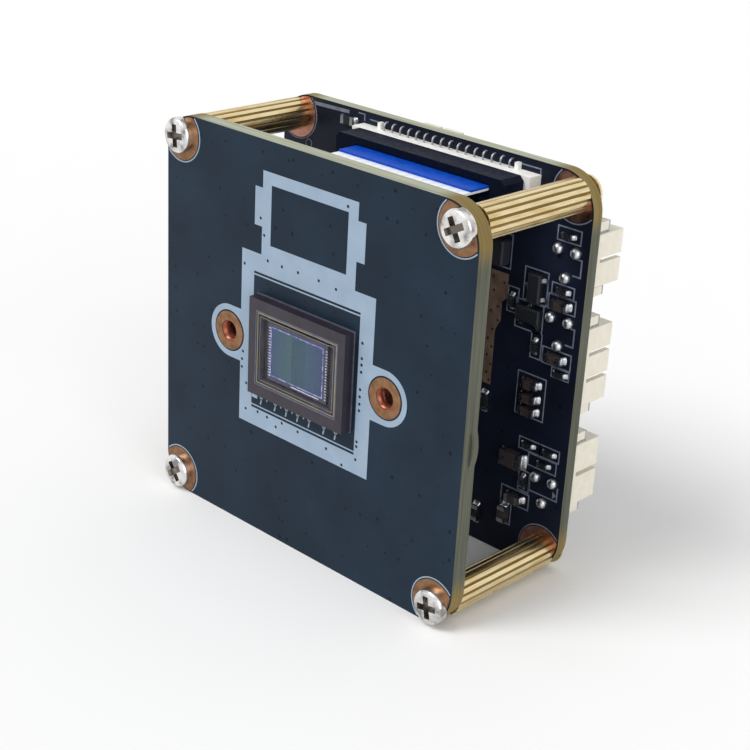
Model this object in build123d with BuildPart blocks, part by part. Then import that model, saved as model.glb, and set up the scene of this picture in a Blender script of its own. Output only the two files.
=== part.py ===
from build123d import *
import os

os.makedirs("parts", exist_ok=True)

# Camera module: an image sensor board and a main board, held apart by four
# standoffs and joined by a ribbon. Millimetres. The origin is the middle of the
# two lens-holder holes on the sensor board's front face; +X is right, +Y goes
# back through the module and +Z is up.

# Boards
board_side = 38.0
sensor_board_t = 1.6
main_board_t = 1.2
sensor_corner_r = 3.6
main_corner_r = 3.5
board_gap = 13.0
screw_inset = 2.0
screw_hole_r = 1.1
lens_hole_pitch = 20.0
lens_hole_r = 1.0
nub_z = -1.8
nub_length = 3.3
nub_rise = 0.25
nub_t = 0.8

# Copper
copper_t = 0.05
screw_pad_r = 2.35
pad_inset = 0.15
lens_pad_r = 1.85

# Screws and standoffs
head_r = 1.65
head_rise = 0.85
head_round = 0.4
shank_r = 0.95
shank_length = 4.6
recess_span = 2.1
recess_width = 0.6
recess_depth = 0.5
standoff_r = 1.55
standoff_bore_r = 1.0
standoff_bore_depth = 8.0
spigot_fit = 0.03
swage_r = 1.6
swage_rise = 0.25
flute_count = 16
flute_r = 0.12

# Image sensor
package_w = 12.2
package_h = 9.3
package_rise = 1.15
package_z = 0.14
glass_w = 10.4
glass_h = 7.1
glass_t = 0.3
glass_sink = 0.1
glass_gap = 0.05
cavity_lip = 0.4
cavity_floor = 0.3
die_w = 7.6
die_h = 5.6
die_t = 0.3
die_x = -0.25
die_z = 0.1

# Ribbon
ribbon_w = 15.8
ribbon_t = 0.2
ribbon_x = 2.95
stiffener_t = 0.2
stiffener_bare = 2.2
ribbon_straight = 3.3
ribbon_turn_r = 0.7
ribbon_bend_r = 1.2
ribbon_insert = 0.85

# Ribbon sockets, the same on both boards
rear_slot_drop = 2.25
front_slot_z = 6.0
socket_x = 2.5
socket_length = 21.3
socket_deep = 3.2
socket_above_slot = 1.1
housing_rise = 1.55
housing_floor = 0.4
slider_length = 20.1
slider_rise = 4.2
slider_gap = 0.05
slider_chamfer = 0.42
slider_travel = 0.8
slider_to_ribbon = 0.4
slot_clear = 0.15
tongue_t = 0.4
contact_count = 16
contact_pitch = 1.0
contact_w = 0.14
wire_t = 0.12
wire_level = 0.55
wire_reach = 0.35
wire_bend_r = 0.4
lug_w = 0.38
lug_t = 0.5
lug_reach = 0.6
lug_pitch = 16.45

# Wire headers on the back of the main board
header_pitch = 1.25
header_ends = 3.5
header_deep = 3.5
header_rise = 4.1
header_wall = 0.5
header_floor = 0.9
key_w = 0.45
key_level = 1.1
key_pitch = 2.5
wing_w = 0.8
wing_length = 2.7
wing_inset = 0.25
pin_w = 0.4
pin_fit = 0.02
pin_tip_sink = 0.7
pin_tail = 0.8
tab_t = 0.2
tab_rise = 2.4
tab_length = 1.9
side_header_inset = 0.5
top_header_drop = 1.2
short_pin_count = 2
middle_pin_count = 4
lower_pin_count = 3
upper_header_drop = 7.9
lower_header_lift = 9.6
top_header_x = -2.7

# Posts soldered through the main board
post_r = 0.3
post_fit = 0.03
joint_r = 0.52
joint_rise = 0.55
joint_round = 0.45

# Places that follow from the sizes above
screw_pitch = board_side - 2 * screw_inset
right_edge = board_side / 2
top_edge = board_side / 2
rear_slot_z = top_edge - rear_slot_drop
sensor_back = sensor_board_t
main_front = sensor_back + board_gap
main_back = main_front + main_board_t
standoff_length = board_gap - 2 * copper_t

# Which way a piece grows from its board
FORWARD = 1
BACKWARD = -1

# Posts, in threes behind the side headers: how far in from the right edge, and z
post_spots = [
    (right_edge - inset, z)
    for inset, z in (
        (3.25, 12.0), (1.35, 12.0), (2.25, 9.55),
        (3.35, 5.65), (1.4, 5.65), (2.3, 3.25),
        (3.25, -9.9), (1.3, -9.85), (2.25, -12.2),
    )
]


def wall(y):
    """Upright plane at depth y: x right, z up, extruding towards the front."""
    return Plane.XZ.offset(-y)


def keep(piece, name):
    """Label a finished piece and write its file."""
    piece.label = name
    export_step(piece, f"parts/{name}.step")


# Boards

with BuildPart() as sensor_board:
    with BuildSketch(wall(sensor_back)):
        RectangleRounded(board_side, board_side, sensor_corner_r)
        with GridLocations(screw_pitch, screw_pitch, 2, 2):
            Circle(screw_hole_r, mode=Mode.SUBTRACT)
        with GridLocations(lens_hole_pitch, 0, 2, 1):
            Circle(lens_hole_r, mode=Mode.SUBTRACT)
    extrude(amount=sensor_board_t)
    # A low nub on the right edge, in the back half of the board: the tip of a large disc.
    nub_disc_r = nub_length**2 / (8 * nub_rise) + nub_rise / 2
    with BuildSketch(wall(sensor_back)):
        with Locations((right_edge + nub_rise - nub_disc_r, nub_z)):
            Circle(nub_disc_r)
        with Locations((right_edge, nub_z)):
            Rectangle(2 * nub_rise, nub_length, mode=Mode.INTERSECT)
    extrude(amount=nub_t)
keep(sensor_board.part, "sensor_board")

with BuildPart() as main_board:
    with BuildSketch(wall(main_back)):
        RectangleRounded(board_side, board_side, main_corner_r)
        with GridLocations(screw_pitch, screw_pitch, 2, 2):
            Circle(screw_hole_r, mode=Mode.SUBTRACT)
        with Locations(*post_spots):
            Circle(post_r + post_fit, mode=Mode.SUBTRACT)
    extrude(amount=main_board_t)
keep(main_board.part, "main_board")


# Copper pads

def screw_pads(corner_r):
    """Sketch of the bare rings round the screw holes, cut back from the board's rim."""
    with BuildSketch() as pads:
        with GridLocations(screw_pitch, screw_pitch, 2, 2):
            Circle(screw_pad_r)
        RectangleRounded(
            board_side - 2 * pad_inset,
            board_side - 2 * pad_inset,
            corner_r - pad_inset,
            mode=Mode.INTERSECT,
        )
        with GridLocations(screw_pitch, screw_pitch, 2, 2):
            Circle(screw_hole_r, mode=Mode.SUBTRACT)
    return pads.sketch


with BuildPart() as sensor_board_pads:
    for y in (0, sensor_back + copper_t):
        with BuildSketch(wall(y)):
            add(screw_pads(sensor_corner_r))
            with GridLocations(lens_hole_pitch, 0, 2, 1):
                Circle(lens_pad_r)
                Circle(lens_hole_r, mode=Mode.SUBTRACT)
        extrude(amount=copper_t)
keep(sensor_board_pads.part, "sensor_board_pads")

with BuildPart() as main_board_pads:
    for y in (main_front, main_back + copper_t):
        with BuildSketch(wall(y)):
            add(screw_pads(main_corner_r))
        extrude(amount=copper_t)
keep(main_board_pads.part, "main_board_pads")

# Bare strip beside the ribbon socket, with two steps on its right side
strip_left = 8.6
strip_wide = 2.0
strip_narrow = 1.5
strip_slim = 0.95
strip_top = 8.15
strip_upper_step = 5.9
strip_lower_step = 3.65
strip_taper = 1.1
strip_bottom = -2.85
strip_outline = [
    (strip_left, strip_top),
    (strip_left + strip_wide, strip_top),
    (strip_left + strip_wide, strip_upper_step),
    (strip_left + strip_narrow, strip_upper_step - strip_wide + strip_narrow),
    (strip_left + strip_narrow, strip_lower_step),
    (strip_left + strip_slim, strip_lower_step - strip_taper),
    (strip_left + strip_slim, strip_bottom),
    (strip_left, strip_bottom),
]
with BuildPart() as copper_strip:
    with BuildSketch(wall(main_front)):
        with BuildLine():
            Polyline(*strip_outline, close=True)
        make_face()
    extrude(amount=copper_t)
keep(copper_strip.part, "copper_strip")


# Standoffs and screws

with BuildPart() as standoffs:
    with BuildSketch(wall(main_front - copper_t)):
        with GridLocations(screw_pitch, screw_pitch, 2, 2):
            Circle(standoff_r)
            with PolarLocations(standoff_r, flute_count):
                Circle(flute_r, mode=Mode.SUBTRACT)
    extrude(amount=standoff_length)
    with BuildSketch(wall(sensor_back + copper_t)):
        with GridLocations(screw_pitch, screw_pitch, 2, 2):
            Circle(standoff_bore_r)
    extrude(amount=-standoff_bore_depth, mode=Mode.SUBTRACT)
    # The tail passes through the main board and is spread over the back pad.
    with BuildSketch(wall(main_back + copper_t)):
        with GridLocations(screw_pitch, screw_pitch, 2, 2):
            Circle(screw_hole_r - spigot_fit)
    extrude(amount=main_board_t + 2 * copper_t)
    with BuildSketch(wall(main_back + copper_t + swage_rise)):
        with GridLocations(screw_pitch, screw_pitch, 2, 2):
            Circle(swage_r)
    extrude(amount=swage_rise)
keep(standoffs.part, "standoffs")


half_pitch = screw_pitch / 2
screw_corners = [(x, z) for x in (-half_pitch, half_pitch) for z in (-half_pitch, half_pitch)]
recess_turns = (35, 5, 10, 28)

with BuildPart() as front_screws:
    with BuildSketch(wall(-copper_t)):
        with Locations(*screw_corners):
            Circle(head_r)
    extrude(amount=head_rise)
    rims = front_screws.edges().filter_by(GeomType.CIRCLE).group_by(Axis.Y)[0]
    fillet(rims, radius=head_round)
    with BuildSketch(wall(-copper_t)):
        with Locations(*screw_corners):
            Circle(shank_r)
    extrude(amount=-shank_length)
    with BuildSketch(wall(-copper_t - head_rise)):
        for corner, turn in zip(screw_corners, recess_turns):
            with Locations(Location((*corner, 0), (0, 0, turn))):
                Rectangle(recess_span, recess_width)
                Rectangle(recess_width, recess_span)
    extrude(amount=-recess_depth, mode=Mode.SUBTRACT)
keep(front_screws.part, "front_screws")


# Image sensor

package_front = -package_rise
glass_front = package_front + glass_sink
glass_back = glass_front + glass_t

with BuildPart() as sensor_package:
    with BuildSketch(wall(0)):
        with Locations((0, package_z)):
            Rectangle(package_w, package_h)
    extrude(amount=package_rise)
    with BuildSketch(wall(package_front)):
        with Locations((0, package_z)):
            Rectangle(glass_w + 2 * glass_gap, glass_h + 2 * glass_gap)
    extrude(amount=-(glass_t + glass_sink), mode=Mode.SUBTRACT)
    with BuildSketch(wall(package_front)):
        with Locations((0, package_z)):
            Rectangle(glass_w - 2 * cavity_lip, glass_h - 2 * cavity_lip)
    extrude(amount=-(package_rise - cavity_floor), mode=Mode.SUBTRACT)
keep(sensor_package.part, "sensor_package")

with BuildPart() as sensor_die:
    with BuildSketch(wall(-cavity_floor)):
        with Locations((die_x, die_z)):
            Rectangle(die_w, die_h)
    extrude(amount=die_t)
keep(sensor_die.part, "sensor_die")

with BuildPart() as sensor_glass:
    with BuildSketch(wall(glass_back)):
        with Locations((0, package_z)):
            Rectangle(glass_w, glass_h)
    extrude(amount=glass_t)
keep(sensor_glass.part, "sensor_glass")


# Ribbon sockets

def socket_housing(face_y, way, slot_z):
    """White housing on a board face, with the pocket that takes the ribbon's end."""
    top_z = slot_z + socket_above_slot
    pocket_low = slot_z - ribbon_t / 2 - 2 * slot_clear - tongue_t
    pocket_high = slot_z + ribbon_t / 2 + stiffener_t + slot_clear
    with BuildPart() as housing:
        with BuildSketch(wall(face_y)):
            with Locations((socket_x, top_z - socket_deep / 2)):
                Rectangle(socket_length, socket_deep)
        extrude(amount=way * housing_rise)
        with BuildSketch(wall(face_y - way * housing_rise)):
            with Locations((ribbon_x, (pocket_low + pocket_high) / 2)):
                Rectangle(ribbon_w + 2 * slot_clear, pocket_high - pocket_low)
        extrude(amount=-way * (housing_rise - housing_floor), mode=Mode.SUBTRACT)
    return housing.part


def socket_slider(face_y, way, slot_z):
    """Black slider: a frame round the ribbon and a tongue that presses it home."""
    top_z = slot_z + socket_above_slot
    frame_y = face_y - way * (housing_rise + slider_gap)
    slot_low = slot_z - ribbon_t / 2 - slot_clear
    slot_high = slot_z + ribbon_t / 2 + stiffener_t + slot_clear
    with BuildPart() as slider:
        with BuildSketch(wall(frame_y)):
            with Locations((socket_x, top_z - socket_deep / 2)):
                Rectangle(slider_length, socket_deep)
            chamfer(vertices().group_by(Axis.Y)[-1], slider_chamfer)
            with Locations((ribbon_x, (slot_low + slot_high) / 2)):
                Rectangle(ribbon_w + 2 * slot_clear, slot_high - slot_low, mode=Mode.SUBTRACT)
        extrude(amount=way * (slider_rise - housing_rise - slider_gap))
        with BuildSketch(wall(frame_y)):
            with Locations((ribbon_x, slot_low - tongue_t / 2)):
                Rectangle(ribbon_w - 2 * slot_clear, tongue_t)
        extrude(amount=-way * ribbon_insert)
    return slider.part


def bent_contacts(face_y, way, slot_z):
    """Thin leads that leave the housing's top and bend over onto the board."""
    top_z = slot_z + socket_above_slot
    out_y = face_y - way * wire_level
    bend_y = out_y + way * wire_bend_r
    board_y = face_y - way * copper_t
    bend_z = top_z + wire_reach
    with BuildPart() as leads:
        with BuildSketch(*[Plane.YZ.offset(x) for x in contact_row]):
            with BuildLine():
                Line((out_y, top_z), (out_y, bend_z))
                ThreePointArc(
                    (out_y, bend_z),
                    (bend_y - way * wire_bend_r / 2**0.5, bend_z + wire_bend_r / 2**0.5),
                    (bend_y, bend_z + wire_bend_r),
                )
                Line((bend_y, bend_z + wire_bend_r), (board_y, bend_z + wire_bend_r))
            trace(line_width=wire_t)
        extrude(amount=contact_w / 2, both=True)
    return leads.part


def end_lugs(face_y, way, slot_z):
    """Short posts on the board beside the first and the last contact."""
    top_z = slot_z + socket_above_slot
    with BuildPart() as lugs:
        with BuildSketch(wall(face_y)):
            with Locations(*[(x, top_z + lug_reach / 2) for x in lug_row]):
                Rectangle(lug_w, lug_reach)
        extrude(amount=way * lug_t)
    return lugs.part


contact_row = [socket_x + contact_pitch * (i - (contact_count - 1) / 2) for i in range(contact_count)]
lug_row = [socket_x - lug_pitch / 2, socket_x + lug_pitch / 2]

for side, face_y, way, slot_z in (
    ("rear", main_front, FORWARD, rear_slot_z),
    ("front", sensor_back, BACKWARD, front_slot_z),
):
    keep(socket_housing(face_y, way, slot_z), f"{side}_socket_housing")
    keep(socket_slider(face_y, way, slot_z), f"{side}_socket_slider")
    keep(bent_contacts(face_y, way, slot_z), f"{side}_socket_contacts")
    keep(end_lugs(face_y, way, slot_z), f"{side}_socket_lugs")


# Ribbon: straight out of the rear socket, back under itself, down, and into the front socket

rear_end_y = main_front - housing_rise + ribbon_insert
rear_turn_y = main_front - slider_rise - ribbon_straight
front_end_y = sensor_back + housing_rise - ribbon_insert
lower_leg_z = rear_slot_z - 2 * ribbon_turn_r
# The ribbon falls clear of the open slider.
fall_y = main_front - slider_rise - slider_travel - slider_to_ribbon

with BuildPart() as ribbon_cable:
    with BuildSketch(Plane.YZ.offset(ribbon_x)):
        with BuildLine():
            Line((rear_end_y, rear_slot_z), (rear_turn_y, rear_slot_z))
            ThreePointArc(
                (rear_turn_y, rear_slot_z),
                (rear_turn_y - ribbon_turn_r, rear_slot_z - ribbon_turn_r),
                (rear_turn_y, lower_leg_z),
            )
            Line((rear_turn_y, lower_leg_z), (fall_y - ribbon_bend_r, lower_leg_z))
            RadiusArc(
                (fall_y - ribbon_bend_r, lower_leg_z),
                (fall_y, lower_leg_z - ribbon_bend_r),
                ribbon_bend_r,
            )
            Line((fall_y, lower_leg_z - ribbon_bend_r), (fall_y, front_slot_z + ribbon_bend_r))
            RadiusArc(
                (fall_y, front_slot_z + ribbon_bend_r),
                (fall_y - ribbon_bend_r, front_slot_z),
                ribbon_bend_r,
            )
            Line((fall_y - ribbon_bend_r, front_slot_z), (front_end_y, front_slot_z))
        trace(line_width=ribbon_t)
    extrude(amount=ribbon_w / 2, both=True)
keep(ribbon_cable.part, "ribbon_cable")

with BuildPart() as ribbon_stiffeners:
    for face_y, way, slot_z, end_y in (
        (main_front, FORWARD, rear_slot_z, rear_end_y),
        (sensor_back, BACKWARD, front_slot_z, front_end_y),
    ):
        with BuildSketch(wall(end_y)):
            with Locations((ribbon_x, slot_z + ribbon_t / 2 + stiffener_t / 2)):
                Rectangle(ribbon_w, stiffener_t)
        extrude(amount=way * (ribbon_insert - housing_rise + slider_rise + stiffener_bare))
keep(ribbon_stiffeners.part, "ribbon_stiffeners")


# Chips. Each is (how far in from the right edge, z, length, width, upright); the caps are
# part of the length.

cap_share = 0.24
resistor_rise = 0.45
capacitor_rise = 0.8

small = (1.0, 0.5)
middle = (1.6, 0.8)
large = (2.4, 1.5)
resistor_insets = [
    (2.3, 13.3, *small, False), (2.3, 8.3, *small, False), (7.7, 5.9, *small, True),
    (4.7, 2.45, *small, True), (1.7, 0.7, *small, False), (4.4, -7.15, *small, False),
    (2.0, -7.15, *small, False), (2.5, -8.45, *small, False), (4.6, -10.9, *small, True),
    (9.9, -4.6, *middle, True), (9.8, -16.15, *middle, True),
]
capacitor_insets = [
    (2.3, 7.05, *middle, False), (2.3, 2.05, *middle, False), (4.7, -1.15, *middle, False),
    (4.7, -2.5, *middle, False), (4.7, -3.75, *middle, False), (5.3, -12.85, *middle, False),
    (6.35, -14.8, *middle, True), (5.9, -9.0, *large, False),
]
# One more stands left of the socket.
left_chip_gap = 1.9
left_chip_drop = 1.25
left_chip = (socket_x - socket_length / 2 - left_chip_gap, top_edge - left_chip_drop, *middle, False)
resistor_spots = [left_chip] + [(right_edge - inset, *rest) for inset, *rest in resistor_insets]
capacitor_spots = [(right_edge - inset, *rest) for inset, *rest in capacitor_insets]

# Capacitors in two groups of three below the sensor board's lens-holder holes
sensor_capacitor_z = -4.0
sensor_capacitor_pitch = 2.5
capacitors_per_group = 3
sensor_capacitor_group_pitch = 13.0
sensor_capacitor_row = [
    side * sensor_capacitor_group_pitch / 2 + step * sensor_capacitor_pitch
    for side in (-1, 1)
    for step in range(-(capacitors_per_group // 2), capacitors_per_group // 2 + 1)
]
sensor_capacitor_spots = [(x, sensor_capacitor_z, *middle, True) for x in sensor_capacitor_row]


def chip_outlines(spots, ends):
    """Sketch of the chips' bodies, or of their end caps."""
    with BuildSketch() as outlines:
        for x, z, length, width, upright in spots:
            cap = cap_share * length
            with Locations(Location((x, z, 0), (0, 0, 90 if upright else 0))):
                if ends:
                    with GridLocations(length - cap, 0, 2, 1):
                        Rectangle(cap, width)
                else:
                    Rectangle(length - 2 * cap, width)
    return outlines.sketch


def chip_row(groups, way, face_y, ends=False):
    """Chips on a board face, one solid for each body or cap."""
    with BuildPart() as chips:
        for spots, rise in groups:
            with BuildSketch(wall(face_y)):
                add(chip_outlines(spots, ends))
            extrude(amount=way * rise)
    return chips.part


main_chips = [(resistor_spots, resistor_rise), (capacitor_spots, capacitor_rise)]
sensor_chips = [(sensor_capacitor_spots, capacitor_rise)]
keep(chip_row(main_chips[:1], FORWARD, main_front), "chip_resistors")
keep(chip_row(main_chips[1:], FORWARD, main_front), "chip_capacitors")
keep(chip_row(main_chips, FORWARD, main_front, ends=True), "chip_end_caps")
keep(chip_row(sensor_chips, BACKWARD, sensor_back), "sensor_board_capacitors")
keep(chip_row(sensor_chips, BACKWARD, sensor_back, ends=True), "sensor_board_end_caps")


# Inductor: the tallest part beside the ribbon socket

inductor_w = 1.6
inductor_h = 2.4
inductor_rise = 1.1
inductor_round = 0.25
inductor_bevel = 0.12
inductor_inset = 9.3
inductor_z = 10.15

with BuildPart() as inductor:
    with BuildSketch(wall(main_front)):
        with Locations((right_edge - inductor_inset, inductor_z)):
            RectangleRounded(inductor_w, inductor_h, inductor_round)
    extrude(amount=inductor_rise)
    chamfer(inductor.faces().sort_by(Axis.Y)[0].edges(), inductor_bevel)
keep(inductor.part, "inductor")


# Transistors: a moulded body with two leads on one long side and one on the other

transistor_l = 2.7
transistor_w = 1.4
transistor_rise = 0.6
lead_w = 0.42
lead_t = 0.12
lead_reach = 0.55
lead_level = 0.4
lead_pitch = 1.8
transistor_bevel = 0.15
transistor_insets = [(5.65, 5.2, 0), (5.2, 7.8, 90)]
transistor_spots = [(right_edge - inset, z, turn) for inset, z, turn in transistor_insets]

with BuildPart() as transistors:
    with BuildSketch(wall(main_front)):
        for x, z, turn in transistor_spots:
            with Locations(Location((x, z, 0), (0, 0, turn))):
                Rectangle(transistor_l, transistor_w)
    extrude(amount=transistor_rise)
    chamfer(transistors.faces().sort_by(Axis.Y)[0:2].edges(), transistor_bevel)
keep(transistors.part, "transistors")

with BuildPart() as transistor_leads:
    lead_middle = transistor_w / 2 + lead_reach / 2
    upright_middle = transistor_w / 2 + lead_t / 2
    for offset_out, depth, rise in (
        (lead_middle, lead_reach, lead_t),
        (upright_middle, lead_t, lead_level),
    ):
        with BuildSketch(wall(main_front)):
            for x, z, turn in transistor_spots:
                with Locations(Location((x, z, 0), (0, 0, turn))):
                    feet = [(-lead_pitch / 2, -offset_out), (lead_pitch / 2, -offset_out), (0, offset_out)]
                    with Locations(*feet):
                        Rectangle(lead_w, depth)
        extrude(amount=rise)
keep(transistor_leads.part, "transistor_leads")


# Posts through the main board, each with a dome of solder in front

with BuildPart() as soldered_posts:
    with BuildSketch(wall(main_front)):
        with Locations(*post_spots):
            Circle(joint_r)
    extrude(amount=joint_rise)
    fillet(soldered_posts.edges().filter_by(GeomType.CIRCLE).group_by(Axis.Y)[0], radius=joint_round)
    with BuildSketch(wall(main_front)):
        with Locations(*post_spots):
            Circle(post_r)
    extrude(amount=-main_board_t)
keep(soldered_posts.part, "soldered_posts")


# Wire headers behind the main board, open to the back. A header's plane has its outer wall
# at y = 0, its body below that, and its height along the plane's normal.

def header_plane(wall_x, wall_z, across):
    """Plane on the board's back face, with across as the direction of the row of pins."""
    return Plane(origin=(wall_x, main_back, wall_z), x_dir=across, z_dir=(0, 1, 0))


def header_width(ways):
    """Width of a header's body."""
    return header_pitch * (ways - 1) + header_ends


def header_reach(ways):
    """Half the width of a header with its wings."""
    return header_width(ways) / 2 + tab_t + wing_w


upper_header_z = top_edge - upper_header_drop
lower_header_z = lower_header_lift - top_edge
free_top = upper_header_z - header_reach(short_pin_count)
free_low = lower_header_z + header_reach(lower_pin_count)
middle_header_z = (free_top + free_low) / 2
side_x = right_edge - side_header_inset
top_z = top_edge - top_header_drop
upward = (0, 0, 1)
leftward = (-1, 0, 0)
header_planes = {
    "upper_header": (short_pin_count, header_plane(side_x, upper_header_z, upward)),
    "middle_header": (middle_pin_count, header_plane(side_x, middle_header_z, upward)),
    "lower_header": (lower_pin_count, header_plane(side_x, lower_header_z, upward)),
    "top_header": (short_pin_count, header_plane(top_header_x, top_z, leftward)),
}
pin_hole_w = pin_w + 2 * pin_fit


def header_housing(ways, base):
    """Open box with key slits in its outer wall and a low wing, slit for its tab, at each end."""
    width = header_width(ways)
    with BuildPart() as housing:
        with BuildSketch(base):
            with Locations((0, -header_deep / 2)):
                Rectangle(width, header_deep)
        extrude(amount=header_rise)
        with BuildSketch(base):
            with Locations((0, -wing_inset - wing_length / 2)):
                Rectangle(2 * header_reach(ways), wing_length)
        extrude(amount=tab_rise - tab_t)
        with BuildSketch(base):
            with Locations((0, -wing_inset - tab_length / 2)):
                with GridLocations(width + tab_t, 0, 2, 1):
                    Rectangle(tab_t, tab_length)
        extrude(amount=tab_rise - tab_t, mode=Mode.SUBTRACT)
        with BuildSketch(base.offset(header_floor)):
            with Locations((0, -header_deep / 2)):
                Rectangle(width - 2 * header_wall, header_deep - 2 * header_wall)
        extrude(amount=header_rise - header_floor, mode=Mode.SUBTRACT)
        with BuildSketch(base.offset(key_level)):
            with Locations((0, -header_wall / 2)):
                with GridLocations(key_pitch, 0, ways // 2, 1):
                    Rectangle(key_w, header_wall)
        extrude(amount=header_rise - key_level, mode=Mode.SUBTRACT)
        with BuildSketch(base):
            with Locations((0, -header_deep / 2)):
                with GridLocations(header_pitch, 0, ways, 1):
                    Rectangle(pin_hole_w, pin_hole_w)
        extrude(amount=header_floor, mode=Mode.SUBTRACT)
        with BuildSketch(base):
            with Locations((0, -header_deep * 3 / 4)):
                with GridLocations(header_pitch, 0, ways, 1):
                    Rectangle(pin_hole_w, header_deep / 2)
        extrude(amount=pin_w + pin_fit, mode=Mode.SUBTRACT)
    return housing.part


for name, (ways, base) in header_planes.items():
    keep(header_housing(ways, base), f"{name}_housing")

with BuildPart() as header_pins:
    for ways, base in header_planes.values():
        with BuildSketch(base):
            with Locations((0, -header_deep / 2)):
                with GridLocations(header_pitch, 0, ways, 1):
                    Rectangle(pin_w, pin_w)
        extrude(amount=header_rise - pin_tip_sink)
        tail_length = header_deep / 2 + pin_tail
        with BuildSketch(base):
            with Locations((0, -header_deep / 2 - tail_length / 2)):
                with GridLocations(header_pitch, 0, ways, 1):
                    Rectangle(pin_w, tail_length)
        extrude(amount=pin_w)
keep(header_pins.part, "header_pins")

with BuildPart() as header_tabs:
    for ways, base in header_planes.values():
        width = header_width(ways)
        reach = header_reach(ways)
        with BuildSketch(base):
            with Locations((0, -wing_inset - tab_length / 2)):
                with GridLocations(width + tab_t, 0, 2, 1):
                    Rectangle(tab_t, tab_length)
        extrude(amount=tab_rise)
        with BuildSketch(base.offset(tab_rise - tab_t)):
            with Locations((0, -wing_inset - tab_length / 2)):
                with GridLocations(width / 2 + reach, 0, 2, 1):
                    Rectangle(reach - width / 2, tab_length)
        extrude(amount=tab_t)
keep(header_tabs.part, "header_tabs")


# Large parts on the back of the main board

processor_side = 12.0
processor_rise = 1.2
processor_bevel = 0.15
processor_x = -4.5
processor_z = -1.0
flash_w = 5.3
flash_h = 5.3
flash_rise = 1.7
flash_bevel = 0.2
flash_x = -12.0
flash_z = 11.0
flash_leads = 4
flash_lead_pitch = 1.27
crystal_w = 3.2
crystal_h = 2.5
crystal_rise = 0.8
crystal_corner_r = 0.3
crystal_round = 0.15
crystal_x = -4.5
crystal_z = -11.0

with BuildPart() as processor:
    with BuildSketch(wall(main_back)):
        with Locations((processor_x, processor_z)):
            Rectangle(processor_side, processor_side)
    extrude(amount=-processor_rise)
    chamfer(processor.faces().sort_by(Axis.Y)[-1].edges(), processor_bevel)
keep(processor.part, "processor")

with BuildPart() as flash_memory:
    with BuildSketch(wall(main_back)):
        with Locations((flash_x, flash_z)):
            Rectangle(flash_w, flash_h)
    extrude(amount=-flash_rise)
    chamfer(flash_memory.faces().sort_by(Axis.Y)[-1].edges(), flash_bevel)
keep(flash_memory.part, "flash_memory")

with BuildPart() as flash_memory_leads:
    for gap, depth, rise in (
        (flash_w + lead_t, lead_t, flash_rise / 2),
        (flash_w + lead_reach * 2, lead_reach * 2, lead_t),
    ):
        with BuildSketch(wall(main_back)):
            with Locations((flash_x, flash_z)):
                with GridLocations(gap, flash_lead_pitch, 2, flash_leads):
                    Rectangle(depth, lead_w)
        extrude(amount=-rise)
keep(flash_memory_leads.part, "flash_memory_leads")

with BuildPart() as crystal:
    with BuildSketch(wall(main_back)):
        with Locations((crystal_x, crystal_z)):
            RectangleRounded(crystal_w, crystal_h, crystal_corner_r)
    extrude(amount=-crystal_rise)
    fillet(crystal.faces().sort_by(Axis.Y)[-1].edges(), radius=crystal_round)
keep(crystal.part, "crystal")
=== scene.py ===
"""Looks of a two-board camera module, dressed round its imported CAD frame.

Shapes are worked out in millimetres in the frame's own axes (X right, Y back, Z up) and
turned to metres where they become meshes.
"""

import math

import bmesh
import bpy
import numpy as np
from mathutils import Matrix, Vector


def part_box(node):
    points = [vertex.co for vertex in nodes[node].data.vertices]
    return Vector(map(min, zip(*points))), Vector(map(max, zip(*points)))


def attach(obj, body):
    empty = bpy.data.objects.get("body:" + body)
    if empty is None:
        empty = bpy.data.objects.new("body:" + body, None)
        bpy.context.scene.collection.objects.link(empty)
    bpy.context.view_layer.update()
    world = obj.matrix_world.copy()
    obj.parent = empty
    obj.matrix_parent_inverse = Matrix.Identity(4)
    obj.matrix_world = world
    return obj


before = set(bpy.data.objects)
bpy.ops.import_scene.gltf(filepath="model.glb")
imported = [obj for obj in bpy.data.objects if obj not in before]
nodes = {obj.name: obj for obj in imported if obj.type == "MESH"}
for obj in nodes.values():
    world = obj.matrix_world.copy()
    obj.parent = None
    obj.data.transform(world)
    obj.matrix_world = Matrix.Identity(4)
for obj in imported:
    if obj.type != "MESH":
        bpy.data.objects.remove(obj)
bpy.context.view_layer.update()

MM = 0.001
# Which way a face looks, along Y
FRONT, BACK = -1, 1


def box_mm(node):
    """Lowest and highest corner of a CAD node, in millimetres."""
    low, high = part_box(node)
    return np.array(low) / MM, np.array(high) / MM


# Boxes of the pieces that the looks are measured from, and the faces that carry them
sensor_low, sensor_high = box_mm("sensor_board")
main_low, main_high = box_mm("main_board")
package_low, package_high = box_mm("sensor_package")
glass_low, glass_high = box_mm("sensor_glass")
die_low, die_high = box_mm("sensor_die")
processor_low, processor_high = box_mm("processor")
strip_low, strip_high = box_mm("copper_strip")
SENSOR_FACE, SENSOR_BACK = sensor_low[1], sensor_high[1]
MAIN_FACE, MAIN_BACK = main_low[1], main_high[1]
PACKAGE_FACE, GLASS_FACE, DIE_FACE = package_low[1], glass_low[1], die_low[1]
HEAD_TOP = box_mm("front_screws")[0][1]
BOARD_EDGE = main_high[0]
PACKAGE_Z = (package_low[2] + package_high[2]) / 2

# Distance of the screws and of the lens-holder holes from the middle of a board
SCREW_AT = 17.0
LENS_AT = 10.0

# The die's pixel field: left, bottom, right and top
ACTIVE = (-3.68, -2.25, 2.97, 2.4)

# Thickness of printed ink and the usual width of its lines, and thickness of a film or dot
INK = 0.02
INK_LINE = 0.12
FILM = 0.01


# Colours and node building


def colour(code):
    """Linear RGBA of an sRGB hex colour: the sRGB curve undone channel by channel."""
    part = np.array([int(code[i : i + 2], 16) for i in (1, 3, 5)]) / 255
    linear = np.where(part <= 0.04045, part / 12.92, ((part + 0.055) / 1.055) ** 2.4)
    return (*linear.tolist(), 1.0)


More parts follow.
